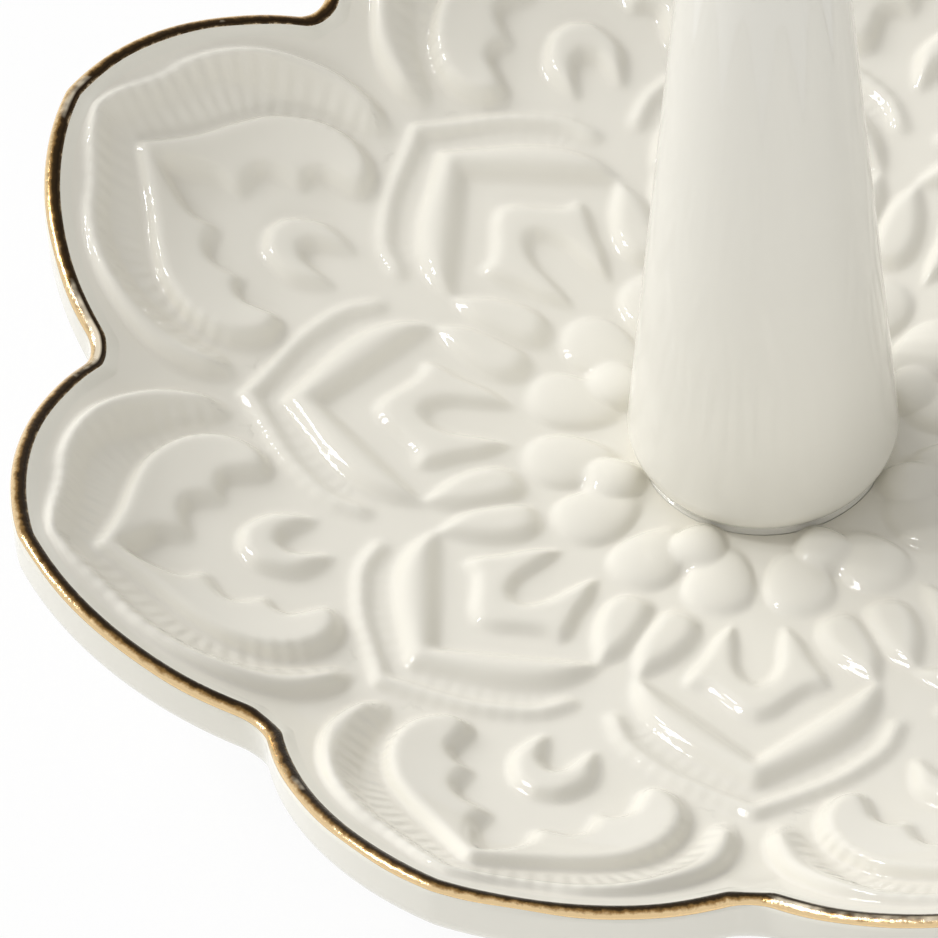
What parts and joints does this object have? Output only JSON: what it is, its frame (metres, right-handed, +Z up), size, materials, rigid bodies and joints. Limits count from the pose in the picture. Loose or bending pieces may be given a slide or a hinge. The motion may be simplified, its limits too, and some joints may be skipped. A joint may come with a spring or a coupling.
{
  "type": "ring dish",
  "caption": "Petalled ceramic dish with a raised mandala, a gold line on its lip and a tall cone in the middle that rings are stacked on.",
  "frame": {"origin": "middle of the foot ring's resting face", "axes": "+Z up along the cone; a notch between two petals faces -Y"},
  "size_m": [0.1038, 0.1038, 0.072],
  "materials": {
    "glazed_ceramic": "gloss",
    "gold_lustre": "polished"
  },
  "bodies": {
    "root": {"dish": "glazed_ceramic", "ring_cone": "glazed_ceramic", "slip_joint": "glazed_ceramic", "gold_rim": "gold_lustre"}
  },
  "joints": []
}
